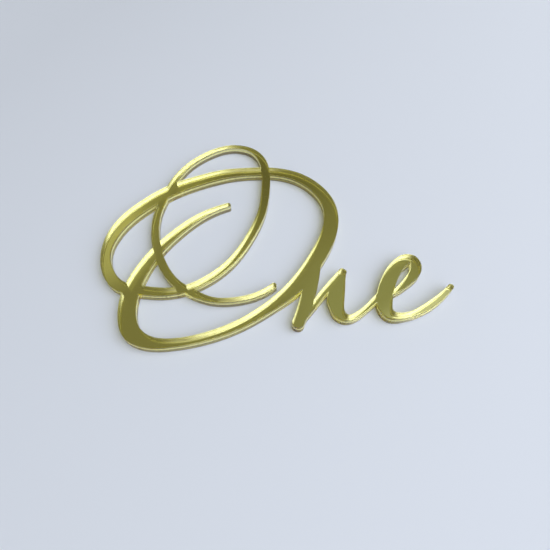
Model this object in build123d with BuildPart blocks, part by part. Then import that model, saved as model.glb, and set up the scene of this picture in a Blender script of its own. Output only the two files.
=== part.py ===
from build123d import *
import os

# Sheet: tinted clear acrylic with a mirror film and a protective coat on its back.
ACRYLIC_THICKNESS = 2.85
FILM_THICKNESS = 0.05
COAT_THICKNESS = 0.10

# Lettering: length of the whole word, and width of its broadest stroke.
WORD_LENGTH = 118.8
BROAD_STROKE = 6.06

# The drawing's own units, whole numbers as type is drawn: along the word, and across its broadest stroke.
WORD_UNITS = 1490
BROAD_UNITS = 76
# How far a rounded stroke end runs past its last point, in percent of the pen's width there.
TIP_PERCENT = 42

# Each layer lies on the one below it, with the coat's back at z = 0.
FILM_BASE = COAT_THICKNESS
ACRYLIC_BASE = COAT_THICKNESS + FILM_THICKNESS

# Pen paths in drawing units: x, y and pen width at each point, with the foot of the small letters at y = 0.
# The capital is one path: smile, oval, upper loop, oval, left bowl, right bowl, stem, inner curl.
capital = [
    (757, 224, 24),
    (678, 182, 23),
    (590, 167, 23),
    (501, 176, 24),
    (421, 217, 32),
    (351, 273, 34),
    (292, 366, 36),
    (258, 465, 36),
    (241, 580, 35),
    (247, 700, 33),
    (279, 817, 36),
    (328, 940, 33),
    (403, 1045, 30),
    (499, 1119, 30),
    (615, 1155, 28),
    (720, 1115, 31),
    (772, 1021, 39),
    (781, 920, 41),
    (767, 785, 41),
    (738, 650, 38),
    (672, 501, 37),
    (571, 354, 36),
    (483, 283, 36),
    (399, 244, 35),
    (300, 234, 40),
    (201, 252, 44),
    (115, 283, 49),
    (58, 359, 47),
    (34, 460, 43),
    (50, 566, 55),
    (104, 669, 66),
    (191, 760, 72),
    (313, 848, 76),
    (446, 904, 71),
    (569, 937, 67),
    (700, 944, 59),
    (821, 932, 58),
    (929, 888, 59),
    (1015, 800, 61),
    (1060, 696, 63),
    (1063, 590, 67),
    (1024, 466, 72),
    (951, 343, 72),
    (851, 216, 69),
    (747, 133, 51),
    (600, 50, 41),
    (459, 7, 37),
    (340, -5, 38),
    (251, 9, 51),
    (188, 55, 69),
    (160, 140, 71),
    (163, 240, 71),
    (199, 353, 63),
    (260, 462, 53),
    (341, 558, 45),
    (454, 655, 36),
    (582, 713, 26),
]
# The path crosses itself, so it is filled in three stretches that share their end lines.
capital_stretches = [(0, 19), (19, 35), (35, 56)]

# The n hangs from the capital's right bowl, and its last stroke runs on into the e.
n_stem = [
    (946, 330, 56),
    (889, 155, 57),
    (833, 33, 49),
]
n_upstroke = [
    (855, 50, 22),
    (911, 115, 25),
    (955, 165, 29),
    (1001, 213, 30),
    (1055, 270, 27),
]
n_downstroke = [
    (1061, 266, 24),
    (1033, 204, 44),
    (1004, 143, 71),
    (1000, 90, 57),
    (1006, 60, 48),
    (1027, 41, 32),
    (1080, 53, 24),
    (1129, 87, 24),
    (1185, 133, 28),
]
e_letter = [
    (1213, 129, 19),
    (1266, 152, 23),
    (1313, 186, 34),
    (1354, 222, 44),
    (1378, 279, 46),
    (1371, 302, 45),
    (1344, 305, 52),
    (1309, 285, 56),
    (1258, 228, 62),
    (1214, 150, 66),
    (1194, 80, 61),
    (1206, 38, 44),
    (1260, 28, 26),
    (1340, 50, 28),
    (1421, 94, 29),
    (1491, 147, 24),
]
e_stretches = [(0, 8), (8, 15)]

# Every stroke to fill: its path, and its first and last point on that path.
strokes = [(capital, first, last) for first, last in capital_stretches]
strokes += [(path, 0, len(path) - 1) for path in (n_stem, n_upstroke, n_downstroke)]
strokes += [(e_letter, first, last) for first, last in e_stretches]


def place(path, i):
    return Vector(path[i][0], path[i][1]) * (WORD_LENGTH / WORD_UNITS)


def pen_width(path, i):
    return path[i][2] * BROAD_STROKE / BROAD_UNITS


def heading(path, i):
    # Direction of the arc through point i and the points on both sides of it.
    j = min(max(i, 1), len(path) - 2)
    back = place(path, j) - place(path, j - 1)
    ahead = place(path, j + 1) - place(path, j)
    turn = (back.normalized() * ahead.length + ahead.normalized() * back.length).normalized()
    if i == j:
        return turn
    chord = (back if i < j else ahead).normalized()
    return chord * (2 * chord.dot(turn)) - turn


def pen_edge(path, i, side):
    # Point where the pen's left (+1) or right (-1) corner passes at point i.
    along = heading(path, i)
    across = Vector(-along.Y, along.X)
    return place(path, i) + across * (side * pen_width(path, i) / 2)


def tip(path, i):
    # Middle of the rounded end past the first or last point.
    way = -1 if i == 0 else 1
    return place(path, i) + heading(path, i) * (way * pen_width(path, i) * TIP_PERCENT / 100)


with BuildSketch() as lettering:
    for path, first, last in strokes:
        stations = range(first, last + 1)
        ends = (heading(path, first), heading(path, last))
        with BuildLine() as outline:
            left = Spline([pen_edge(path, i, 1) for i in stations], tangents=ends, tangent_scalars=(1, 1))
            right = Spline([pen_edge(path, i, -1) for i in stations], tangents=ends, tangent_scalars=(1, 1))
            if first == 0:
                ThreePointArc(left @ 0, tip(path, first), right @ 0)
            else:
                Line(left @ 0, right @ 0)
            if last == len(path) - 1:
                ThreePointArc(left @ 1, tip(path, last), right @ 1)
            else:
                Line(left @ 1, right @ 1)
        make_face()

# The origin lies under the middle of the word's bounding rectangle.
middle = lettering.sketch.bounding_box().center()

with BuildPart() as backing_coat:
    with BuildSketch(Plane.XY):
        with Locations((-middle.X, -middle.Y)):
            add(lettering.sketch)
    extrude(amount=COAT_THICKNESS)

with BuildPart() as mirror_film:
    with BuildSketch(Plane.XY.offset(FILM_BASE)):
        with Locations((-middle.X, -middle.Y)):
            add(lettering.sketch)
    extrude(amount=FILM_THICKNESS)

with BuildPart() as acrylic_plate:
    with BuildSketch(Plane.XY.offset(ACRYLIC_BASE)):
        with Locations((-middle.X, -middle.Y)):
            add(lettering.sketch)
    extrude(amount=ACRYLIC_THICKNESS)

os.makedirs("parts", exist_ok=True)
backing_coat.part.label = "backing_coat"
export_step(backing_coat.part, "parts/backing_coat.step")
mirror_film.part.label = "mirror_film"
export_step(mirror_film.part, "parts/mirror_film.step")
acrylic_plate.part.label = "acrylic_plate"
export_step(acrylic_plate.part, "parts/acrylic_plate.step")
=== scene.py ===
import math

import bmesh
import bpy
from bpy.props import FloatProperty, FloatVectorProperty, IntProperty, PointerProperty
from bpy.types import Operator, Panel, PropertyGroup
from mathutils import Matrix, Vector


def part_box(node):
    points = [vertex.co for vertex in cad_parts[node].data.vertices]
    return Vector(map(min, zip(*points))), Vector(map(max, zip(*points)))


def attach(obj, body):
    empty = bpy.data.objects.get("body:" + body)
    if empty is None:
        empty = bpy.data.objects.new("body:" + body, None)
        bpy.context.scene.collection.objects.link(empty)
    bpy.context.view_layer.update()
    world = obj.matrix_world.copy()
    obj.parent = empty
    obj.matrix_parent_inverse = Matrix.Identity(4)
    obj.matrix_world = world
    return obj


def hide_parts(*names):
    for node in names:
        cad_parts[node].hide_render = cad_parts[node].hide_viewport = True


bl_info = {
    "name": "Mirror Acrylic Number Word",
    "version": (1, 0, 0),
    "blender": (4, 5, 0),
    "location": "View3D > Sidebar > Topper",
    "description": "Dresses a laser-cut mirror acrylic cake topper and sets it on a pale table",
    "category": "Add Mesh",
}

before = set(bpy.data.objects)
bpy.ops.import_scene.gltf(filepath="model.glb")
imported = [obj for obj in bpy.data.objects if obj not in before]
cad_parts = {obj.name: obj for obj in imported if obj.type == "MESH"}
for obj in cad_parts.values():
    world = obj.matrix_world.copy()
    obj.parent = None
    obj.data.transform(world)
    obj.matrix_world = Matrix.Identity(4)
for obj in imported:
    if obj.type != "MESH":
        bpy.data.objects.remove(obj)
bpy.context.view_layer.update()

# The piece that carries the word's outline, and the body that everything rides on.
PLATE_NODE = "acrylic_plate"
BODY = "root"
# Faces that lie on each other are drawn this far apart, in metres, so that light meets one of them.
FACE_GAP = 0.000001
# The table lies this far under the painted back, in metres.
TABLE_GAP = 0.00002
# Points of the outline nearer than this are one point, in metres: the same corner, and a needless short step.
SAME_POINT = 2e-6
SHORT_STEP = 7e-5
# A face this close to level counts as flat, by the upright part of its normal.
LEVEL = 0.99
# Walls that turn less than this from one step to the next are shaded as one curve.
SMOOTH_TURN = math.radians(35)
# The photograph's frame is square, and this many pixels across.
FRAME_PIXELS = 550

# The table's colour is painted lighter along this direction, as painted light from the window to the right, by
# this share over this reach to each side, in metres.
TABLE_PAINTED_LIGHT_DIRECTION = (0.69, -0.276, 0)
TABLE_PAINTED_LIGHT_SWING = 0.12
TABLE_PAINTED_LIGHT_REACH = 0.12
# Light runs a long way along the inside of the strokes, so it may turn this often, in all and at surfaces.
PATH_TURNS = 40
SURFACE_TURNS = 32

# Colours of the room: overhead, and low down beside the table.
ROOM_HIGH = (0.2, 0.195, 0.12, 1)
ROOM_LOW = (0.65, 0.65, 0.65, 1)
# Soft patches of light, or of dark where the colour is below zero. Each has its turn from the far side
# towards the right and its rise above the table, the angles where it is full and gone, and its colour.
WINDOW = (112, 50, 29, 47, (1.86, 2.0, 2.68))
FILL = (168, 42, 4, 35, (0.58, 0.6, 0.82))
VIEWER = (158, 60, 6, 22, (-1.1, -1.2, -1.65))
CEILING = (135, 82, 5, 30, (0.3, 0.3, 0.3))
LEFT_GLOW = (-28, 43, 1, 9, (0.22, 0.22, 0.16))
RIGHT_GLOW = (30, 58, 3, 14, (0.07, 0.085, 0.08))
FAR_SHADE = (5, 36, 2, 14, (-0.07, -0.07, -0.045))
PATCHES = (WINDOW, FILL, VIEWER, CEILING, LEFT_GLOW, RIGHT_GLOW, FAR_SHADE)


class SheetSizes(PropertyGroup):
    """Sizes of the cut sheet that only its looks need"""

    edge_round: FloatProperty(
        name="Edge rounding",
        description="Radius that the cutting heat leaves along the upper edge",
        default=0.00018,
        min=0.00002,
        max=0.0005,
        precision=5,
        unit="LENGTH",
    )
    round_steps: IntProperty(
        name="Rounding steps",
        description="Flat steps across the rounded edge",
        default=3,
        min=1,
        max=6,
    )
    haze_height: FloatProperty(
        name="Haze height",
        description="Height of the middle of the hazy stripe on the cut walls",
        default=0.0019,
        precision=5,
        unit="LENGTH",
    )
    haze_core: FloatProperty(
        name="Haze core",
        description="How far from its middle the stripe is full",
        default=0.00025,
        precision=5,
        unit="LENGTH",
    )
    haze_reach: FloatProperty(
        name="Haze reach",
        description="How far from its middle the stripe is gone",
        default=0.0005,
        precision=5,
        unit="LENGTH",
    )
    burn_core: FloatProperty(
        name="Burn core",
        description="Height up to which the walls are fully browned",
        default=0.0012,
        precision=5,
        unit="LENGTH",
    )
    burn_reach: FloatProperty(
        name="Burn reach",
        description="Height at which the browning is gone",
        default=0.0016,
        precision=5,
        unit="LENGTH",
    )
    scorch_width: FloatProperty(
        name="Scorch width",
        description="How far the paint is browned in from the cut on the back",
        default=0.00045,
        precision=5,
        unit="LENGTH",
    )
    curve_steps: IntProperty(
        name="Curve steps",
        description="Straight steps between two points of the outline",
        default=4,
        min=1,
        max=12,
    )
    corner_angle: FloatProperty(
        name="Corner angle",
        description="A turn in the outline sharper than this stays a corner",
        default=math.radians(27),
        subtype="ANGLE",
    )


class SheetColours(PropertyGroup):
    """Colours of the sheet's layers"""

    tint: FloatVectorProperty(
        name="Acrylic tint",
        description="Colour that the acrylic takes on with depth",
        default=(0.98, 0.952, 0.33),
        min=0.0,
        max=1.0,
        subtype="COLOR",
    )
    tint_density: FloatProperty(
        name="Tint density",
        description="Strength of the tint for each metre of acrylic",
        default=260.0,
        min=0.0,
    )
    haze: FloatVectorProperty(
        name="Wall haze",
        description="Colour of the hazy stripe on the cut walls",
        default=(0.97, 0.95, 0.42),
        min=0.0,
        max=1.0,
        subtype="COLOR",
    )
    burn: FloatVectorProperty(
        name="Wall burn",
        description="Colour of the browned foot of the cut walls",
        default=(0.62, 0.55, 0.4),
        min=0.0,
        max=1.0,
        subtype="COLOR",
    )
    mirror: FloatVectorProperty(
        name="Mirror metal",
        description="Colour of the metal film",
        default=(0.92, 0.915, 0.9),
        min=0.0,
        max=1.0,
        subtype="COLOR",
    )
    paint: FloatVectorProperty(
        name="Back paint",
        description="Colour of the protective paint",
        default=(0.2, 0.2, 0.205),
        min=0.0,
        max=1.0,
        subtype="COLOR",
    )
    scorch: FloatVectorProperty(
        name="Scorched paint",
        description="Colour of the paint beside the cut",
        default=(0.085, 0.066, 0.05),
        min=0.0,
        max=1.0,
        subtype="COLOR",
    )


class StageSettings(PropertyGroup):
    """Table, light and camera"""

    table_colour: FloatVectorProperty(
        name="Table colour",
        description="Colour of the pale table",
        default=(0.76, 0.785, 0.765),
        min=0.0,
        max=1.0,
        subtype="COLOR",
    )
    table_width: FloatProperty(
        name="Table width",
        description="Side of the square table top",
        default=6.0,
        unit="LENGTH",
    )
    aim: FloatVectorProperty(
        name="Aim point",
        description="Point of the upper face in the middle of the picture",
        default=(0.0007, -0.0239, 0.003),
        subtype="TRANSLATION",
        unit="LENGTH",
    )
    distance: FloatProperty(
        name="Camera distance",
        description="From the camera to the aim point",
        default=0.1419,
        unit="LENGTH",
    )
    elevation: FloatProperty(
        name="Camera elevation",
        description="Angle of the camera above the table",
        default=math.radians(54),
        subtype="ANGLE",
    )
    heading: FloatProperty(
        name="Camera heading",
        description="Turn of the camera to the right of the letters' upright",
        default=math.radians(5.5),
        subtype="ANGLE",
    )
    focal_pixels: FloatProperty(
        name="Focal length",
        description="Focal length in pixels of the square picture",
        default=420.0,
    )


def select_only(obj):
    """Makes obj the one selected and active object"""
    bpy.ops.object.select_all(action="DESELECT")
    obj.select_set(True)
    bpy.context.view_layer.objects.active = obj


def select_faces(obj, wanted):
    """Selects the faces of obj, in edit mode, for which wanted(face) holds"""
    bpy.ops.mesh.select_mode(type="FACE")
    bpy.ops.mesh.select_all(action="DESELECT")
    mesh = bmesh.from_edit_mesh(obj.data)
    mesh.normal_update()
    for face in mesh.faces:
        face.select_set(wanted(face))
    bmesh.update_edit_mesh(obj.data)


def faces_up(face):
    return face.normal.z > LEVEL


def faces_down(face):
    return face.normal.z < -LEVEL


def upper_loops(name):
    """The outline of the plate's upper face, as a new object of edges alone"""
    obj = bpy.data.objects.new(name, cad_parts[PLATE_NODE].data.copy())
    bpy.context.scene.collection.objects.link(obj)
    select_only(obj)
    bpy.ops.mesh.customdata_custom_splitnormals_clear()
    bpy.ops.object.mode_set(mode="EDIT")
    bpy.ops.mesh.select_all(action="SELECT")
    bpy.ops.mesh.remove_doubles(threshold=SAME_POINT)
    select_faces(obj, lambda face: not faces_up(face))
    bpy.ops.mesh.delete(type="FACE")
    bpy.ops.mesh.select_all(action="SELECT")
    bpy.ops.mesh.region_to_loop()
    bpy.ops.mesh.select_all(action="INVERT")
    bpy.ops.mesh.delete(type="EDGE")
    bpy.ops.mesh.select_all(action="SELECT")
    bpy.ops.mesh.remove_doubles(threshold=SHORT_STEP)
    bpy.ops.object.mode_set(mode="OBJECT")
    return obj


def turn_at(points, i):
    """Angle by which a closed row of curve points turns at point i"""
    here = points[i].co
    back = here - points[i - 1].co
    ahead = points[(i + 1) % len(points)].co - here
    return back.angle(ahead)


def smooth_loops(obj, sizes):
    """Runs smooth curves through the outline's points, with its corners kept"""
    select_only(obj)
    bpy.ops.object.convert(target="CURVE")
    bpy.ops.object.mode_set(mode="EDIT")
    bpy.ops.curve.select_all(action="SELECT")
    bpy.ops.curve.spline_type_set(type="BEZIER")
    bpy.ops.curve.handle_type_set(type="AUTOMATIC")
    bpy.ops.object.mode_set(mode="OBJECT")
    for spline in obj.data.splines:
        points = spline.bezier_points
        corners = [i for i in range(len(points)) if turn_at(points, i) > sizes.corner_angle]
        for i in corners:
            points[i].handle_left_type = "VECTOR"
            points[i].handle_right_type = "VECTOR"
    obj.data.resolution_u = sizes.curve_steps
    bpy.ops.object.convert(target="MESH")


def raised_word(name, low, high, sizes):
    """A flat-topped solid of the whole word between two heights, left in edit mode with its top selected"""
    obj = upper_loops(name)
    smooth_loops(obj, sizes)
    bpy.ops.object.mode_set(mode="EDIT")
    bpy.ops.mesh.select_all(action="SELECT")
    bpy.ops.mesh.fill()
    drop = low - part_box(PLATE_NODE)[1].z
    bpy.ops.transform.translate(value=(0, 0, drop))
    bpy.ops.mesh.extrude_region_move(TRANSFORM_OT_translate={"value": (0, 0, high - low)})
    bpy.ops.mesh.select_all(action="SELECT")
    bpy.ops.mesh.normals_make_consistent(inside=False)
    select_faces(obj, faces_up)
    return obj


def round_upper_edge(radius, steps):
    """Insets the selected top in rising steps, so that its edge is a quarter round"""
    quarter = [math.pi / 2 * k / steps for k in range(steps + 1)]
    for low, high in zip(quarter, quarter[1:]):
        bpy.ops.mesh.inset(
            thickness=radius * (math.cos(low) - math.cos(high)),
            depth=radius * (math.sin(high) - math.sin(low)),
            use_even_offset=True,
        )


def give_materials(obj, *materials):
    obj.data.materials.clear()
    for material in materials:
        obj.data.materials.append(material)


def finish_piece(obj, node):
    """Shades the walls smooth and the flats flat, and lets the piece stand for its node"""
    bpy.ops.object.mode_set(mode="OBJECT")
    select_only(obj)
    bpy.ops.object.shade_smooth_by_angle(angle=SMOOTH_TURN)
    bpy.ops.object.mode_set(mode="EDIT")
    select_faces(obj, lambda face: faces_up(face) or faces_down(face))
    bpy.ops.mesh.faces_shade_flat()
    bpy.ops.object.mode_set(mode="OBJECT")
    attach(obj, BODY)
    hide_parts(node)


class NodeBench:
    """Adds and links the nodes of one material or world"""

    def __init__(self, tree):
        self.tree = tree
        self.tree.nodes.clear()

    def add(self, kind, sockets=None, **settings):
        node = self.tree.nodes.new(kind)
        for key, value in settings.items():
            setattr(node, key, value)
        for key, value in (sockets or {}).items():
            self.plug(node.inputs[key], value)
        return node

    def plug(self, socket, value):
        if isinstance(value, bpy.types.NodeSocket):
            self.tree.links.new(value, socket)
        else:
            socket.default_value = value

    def math(self, operation, *values):
        node = self.add("ShaderNodeMath", operation=operation)
        for socket, value in zip(node.inputs, values):
            self.plug(socket, value)
        return node.outputs[0]

    def spread(self, value, from_low, from_high, to_low, to_high, smooth=False):
        """value, moved from one range to another"""
        node = self.add(
            "ShaderNodeMapRange",
            {0: value, 1: from_low, 2: from_high, 3: to_low, 4: to_high},
            interpolation_type="SMOOTHSTEP" if smooth else "LINEAR",
        )
        return node.outputs[0]

    def blend(self, share, first, second):
        """first where share is 0, second where it is 1"""
        node = self.add("ShaderNodeMix", {0: share, 6: first, 7: second}, data_type="RGBA")
        return node.outputs[2]

    def height(self):
        """Height above the painted back"""
        coordinates = self.add("ShaderNodeTexCoord").outputs["Object"]
        return self.add("ShaderNodeSeparateXYZ", {0: coordinates}).outputs["Z"]

    def stretched(self, scale):
        """Object coordinates, scaled apart along each axis"""
        coordinates = self.add("ShaderNodeTexCoord").outputs["Object"]
        return self.add("ShaderNodeMapping", {"Vector": coordinates, "Scale": scale}).outputs[0]

    def noise(self, scale, detail=3.0, roughness=0.5):
        node = self.add(
            "ShaderNodeTexNoise",
            {"Vector": self.stretched(scale), "Scale": 1.0, "Detail": detail, "Roughness": roughness},
        )
        return node.outputs[0]


def new_material(name):
    material = bpy.data.materials.new(name)
    material.use_nodes = True
    return material, NodeBench(material.node_tree)


def upright_share(bench):
    """1 on the cut walls, 0 on the flat face"""
    normal = bench.add("ShaderNodeNewGeometry").outputs["Normal"]
    up = bench.add("ShaderNodeSeparateXYZ", {0: normal}).outputs["Z"]
    return bench.spread(bench.math("ABSOLUTE", up), 0.15, 0.5, 1.0, 0.0)


def tinted_acrylic(sizes, colours):
    """Clear acrylic that yellows with depth: a smudged face, and walls with a hazy stripe and a browned foot"""
    material, bench = new_material("tinted_acrylic")
    walls = upright_share(bench)
    smudge = bench.spread(bench.noise((55, 55, 55), 5.0), 0.45, 0.75, 0.004, 0.03)
    ribs = bench.noise((5200, 5200, 160), 2.0)
    height = bench.height()
    away = bench.math("ABSOLUTE", bench.math("SUBTRACT", height, sizes.haze_height))
    stripe = bench.spread(away, sizes.haze_core, sizes.haze_reach, 1.0, 0.0, smooth=True)
    foot = bench.spread(height, sizes.burn_core, sizes.burn_reach, 1.0, 0.0, smooth=True)
    hazy = bench.math("MULTIPLY", walls, stripe)
    burnt = bench.math("MULTIPLY", walls, foot)
    pale = bench.blend(hazy, (1, 1, 1, 1), (*colours.haze, 1))
    stain = bench.blend(burnt, pale, (*colours.burn, 1))
    cloudy = bench.math("ADD", bench.math("MULTIPLY", hazy, 0.6), bench.math("MULTIPLY", burnt, 0.15))
    clear = bench.math("SUBTRACT", 1.0, cloudy)
    frost = bench.spread(hazy, 0.0, 1.0, 0.2, 0.35)
    cut = bench.math("MULTIPLY", frost, bench.spread(ribs, 0.3, 0.7, 0.7, 1.3))
    roughness = bench.add("ShaderNodeMix", {0: walls, 2: smudge, 3: cut}).outputs[0]
    relief = bench.add(
        "ShaderNodeBump",
        {"Strength": bench.math("MULTIPLY", walls, 0.35), "Distance": 0.00001, "Height": ribs},
    )
    shader = bench.add(
        "ShaderNodeBsdfPrincipled",
        {
            "Base Color": stain,
            "Roughness": roughness,
            "IOR": 1.49,
            "Transmission Weight": clear,
            "Normal": relief.outputs[0],
        },
    )
    depth = bench.add(
        "ShaderNodeVolumeAbsorption",
        {"Color": (*colours.tint, 1), "Density": colours.tint_density},
    )
    bench.add("ShaderNodeOutputMaterial", {"Surface": shader.outputs[0], "Volume": depth.outputs[0]})
    return material


def mirror_metal(colours):
    """Bright metal with the slow waviness of a sheet that isn't optically flat"""
    material, bench = new_material("mirror_metal")
    waves = bench.noise((70, 70, 70), 2.0)
    relief = bench.add("ShaderNodeBump", {"Strength": 0.6, "Distance": 0.00002, "Height": waves})
    roughness = bench.spread(bench.noise((400, 400, 400), 4.0), 0.4, 0.8, 0.015, 0.05)
    shader = bench.add(
        "ShaderNodeBsdfPrincipled",
        {
            "Base Color": (*colours.mirror, 1),
            "Metallic": 1.0,
            "Roughness": roughness,
            "Normal": relief.outputs[0],
        },
    )
    bench.add("ShaderNodeOutputMaterial", {"Surface": shader.outputs[0]})
    return material


def back_paint(name, colour):
    """Matte paint with a fine orange peel and cloudy cover"""
    material, bench = new_material(name)
    cloud = bench.spread(bench.noise((140, 140, 140), 6.0, 0.6), 0.3, 0.7, 0.82, 1.14)
    shade = bench.add("ShaderNodeVectorMath", {0: colour, 1: cloud}, operation="MULTIPLY")
    peel = bench.noise((2600, 2600, 2600), 3.0)
    relief = bench.add("ShaderNodeBump", {"Strength": 0.35, "Distance": 0.00003, "Height": peel})
    roughness = bench.spread(peel, 0.3, 0.7, 0.5, 0.72)
    shader = bench.add(
        "ShaderNodeBsdfPrincipled",
        {"Base Color": shade.outputs[0], "Roughness": roughness, "Normal": relief.outputs[0]},
    )
    bench.add("ShaderNodeOutputMaterial", {"Surface": shader.outputs[0]})
    return material


def table_laminate(settings):
    """Pale matte table top, painted a little brighter to the right as painted light from the window"""
    material, bench = new_material("table_laminate")
    place = bench.add("ShaderNodeTexCoord").outputs["Object"]
    along = bench.add("ShaderNodeVectorMath", {0: place, 1: TABLE_PAINTED_LIGHT_DIRECTION}, operation="DOT_PRODUCT")
    # Painted light: the table colour is scaled up towards the window side and down away from it
    painted_light = bench.spread(along.outputs["Value"], -TABLE_PAINTED_LIGHT_REACH, TABLE_PAINTED_LIGHT_REACH, 1 - TABLE_PAINTED_LIGHT_SWING, 1 + TABLE_PAINTED_LIGHT_SWING)
    shade = bench.add("ShaderNodeVectorMath", {0: settings.table_colour, 1: painted_light}, operation="MULTIPLY")
    shader = bench.add(
        "ShaderNodeBsdfPrincipled",
        {"Base Color": shade.outputs[0], "Roughness": 0.55, "Specular IOR Level": 0.25},
    )
    bench.add("ShaderNodeOutputMaterial", {"Surface": shader.outputs[0]})
    return material


class TOPPER_OT_cut_plate(Operator):
    """Cut the tinted acrylic plate with its rounded upper edge and mirrored back"""

    bl_idname = "topper.cut_plate"
    bl_label = "Cut Acrylic Plate"

    def execute(self, context):
        sizes = context.scene.topper_sizes
        colours = context.scene.topper_colours
        low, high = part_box(PLATE_NODE)
        plate = raised_word("tinted_plate", low.z, high.z - sizes.edge_round, sizes)
        round_upper_edge(sizes.edge_round, sizes.round_steps)
        give_materials(plate, tinted_acrylic(sizes, colours), mirror_metal(colours))
        select_faces(plate, faces_down)
        plate.active_material_index = 1
        bpy.ops.object.material_slot_assign()
        finish_piece(plate, PLATE_NODE)
        return {"FINISHED"}


class TOPPER_OT_lay_mirror(Operator):
    """Lay the metal film on the plate's back"""

    bl_idname = "topper.lay_mirror"
    bl_label = "Lay Mirror Film"

    def execute(self, context):
        low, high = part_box("mirror_film")
        film = raised_word("metal_film", low.z, high.z - FACE_GAP, context.scene.topper_sizes)
        give_materials(film, bpy.data.materials["mirror_metal"])
        finish_piece(film, "mirror_film")
        return {"FINISHED"}


class TOPPER_OT_paint_back(Operator):
    """Paint the back, with a scorched rim beside the cut"""

    bl_idname = "topper.paint_back"
    bl_label = "Paint Back"

    def execute(self, context):
        sizes = context.scene.topper_sizes
        colours = context.scene.topper_colours
        low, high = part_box("backing_coat")
        coat = raised_word("painted_back", low.z, high.z, sizes)
        give_materials(
            coat,
            back_paint("scorched_paint", colours.scorch),
            back_paint("grey_paint", colours.paint),
        )
        select_faces(coat, faces_down)
        bpy.ops.mesh.inset(thickness=sizes.scorch_width, use_even_offset=True)
        coat.active_material_index = 1
        bpy.ops.object.material_slot_assign()
        finish_piece(coat, "backing_coat")
        return {"FINISHED"}


def soft_light(bench, turn, rise, middle, edge, colour):
    """One soft patch of light, full within the middle angle and gone at the edge angle, all in degrees"""
    turn, rise = math.radians(turn), math.radians(rise)
    toward = (math.sin(turn) * math.cos(rise), math.cos(turn) * math.cos(rise), math.sin(rise))
    view = bench.add("ShaderNodeTexCoord").outputs["Generated"]
    closeness = bench.add("ShaderNodeVectorMath", {0: view, 1: toward}, operation="DOT_PRODUCT")
    near, far = math.cos(math.radians(middle)), math.cos(math.radians(edge))
    share = bench.spread(closeness.outputs["Value"], far, near, 0.0, 1.0, smooth=True)
    return bench.add("ShaderNodeVectorMath", {0: share, 1: colour}, operation="MULTIPLY").outputs[0]


def room_light(world):
    """A grey room, pale near the table, with a broad window to the right and what else the mirror shows"""
    world.use_nodes = True
    bench = NodeBench(world.node_tree)
    view = bench.add("ShaderNodeTexCoord").outputs["Generated"]
    height = bench.add("ShaderNodeSeparateXYZ", {0: view}).outputs["Z"]
    low = bench.spread(height, 0.1, 0.5, 1.0, 0.0, smooth=True)
    total = bench.blend(low, ROOM_HIGH, ROOM_LOW)
    for patch in PATCHES:
        more = soft_light(bench, *patch)
        total = bench.add("ShaderNodeVectorMath", {0: total, 1: more}, operation="ADD").outputs[0]
    light = bench.add("ShaderNodeBackground", {"Color": total, "Strength": 1.0})
    bench.add("ShaderNodeOutputWorld", {"Surface": light.outputs[0]})


class TOPPER_OT_set_stage(Operator):
    """Set the pale table, the soft light and the camera"""

    bl_idname = "topper.set_stage"
    bl_label = "Set Stage"

    def execute(self, context):
        scene = context.scene
        settings = scene.topper_stage
        bpy.ops.object.select_all(action="DESELECT")
        bpy.ops.mesh.primitive_plane_add(size=settings.table_width, location=(0, 0, -TABLE_GAP))
        table = context.active_object
        table.name = "table_top"
        table.data.materials.append(table_laminate(settings))

        scene.world = bpy.data.worlds.new("room_light")
        room_light(scene.world)
        scene.view_settings.view_transform = "Standard"

        forward = Vector((
            math.sin(settings.heading) * math.cos(settings.elevation),
            math.cos(settings.heading) * math.cos(settings.elevation),
            -math.sin(settings.elevation),
        ))
        bpy.ops.object.camera_add(
            location=Vector(settings.aim) - forward * settings.distance,
            rotation=forward.to_track_quat("-Z", "Y").to_euler(),
        )
        camera = context.active_object
        camera.data.lens = camera.data.sensor_width * settings.focal_pixels / FRAME_PIXELS
        camera.data.clip_start = 0.005
        scene.camera = camera
        scene.cycles.max_bounces = PATH_TURNS
        scene.cycles.glossy_bounces = SURFACE_TURNS
        scene.cycles.transmission_bounces = SURFACE_TURNS
        return {"FINISHED"}


class TOPPER_PT_panel(Panel):
    """Lists the steps that dress the topper"""

    bl_idname = "TOPPER_PT_panel"
    bl_label = "Mirror Acrylic Topper"
    bl_space_type = "VIEW_3D"
    bl_region_type = "UI"
    bl_category = "Topper"

    def draw(self, context):
        layout = self.layout
        for operator in OPERATORS:
            layout.operator(operator.bl_idname)
        for group in ("topper_sizes", "topper_colours", "topper_stage"):
            settings = getattr(context.scene, group)
            box = layout.box()
            for name in settings.bl_rna.properties.keys():
                if name not in ("rna_type", "name"):
                    box.prop(settings, name)


OPERATORS = (TOPPER_OT_cut_plate, TOPPER_OT_lay_mirror, TOPPER_OT_paint_back, TOPPER_OT_set_stage)
CLASSES = (SheetSizes, SheetColours, StageSettings, *OPERATORS, TOPPER_PT_panel)


def register():
    for cls in CLASSES:
        bpy.utils.register_class(cls)
    bpy.types.Scene.topper_sizes = PointerProperty(type=SheetSizes)
    bpy.types.Scene.topper_colours = PointerProperty(type=SheetColours)
    bpy.types.Scene.topper_stage = PointerProperty(type=StageSettings)


def unregister():
    del bpy.types.Scene.topper_stage
    del bpy.types.Scene.topper_colours
    del bpy.types.Scene.topper_sizes
    for cls in reversed(CLASSES):
        bpy.utils.unregister_class(cls)


def main():
    register()
    bpy.ops.topper.cut_plate()
    bpy.ops.topper.lay_mirror()
    bpy.ops.topper.paint_back()
    bpy.ops.topper.set_stage()


if __name__ == "__main__":
    main()
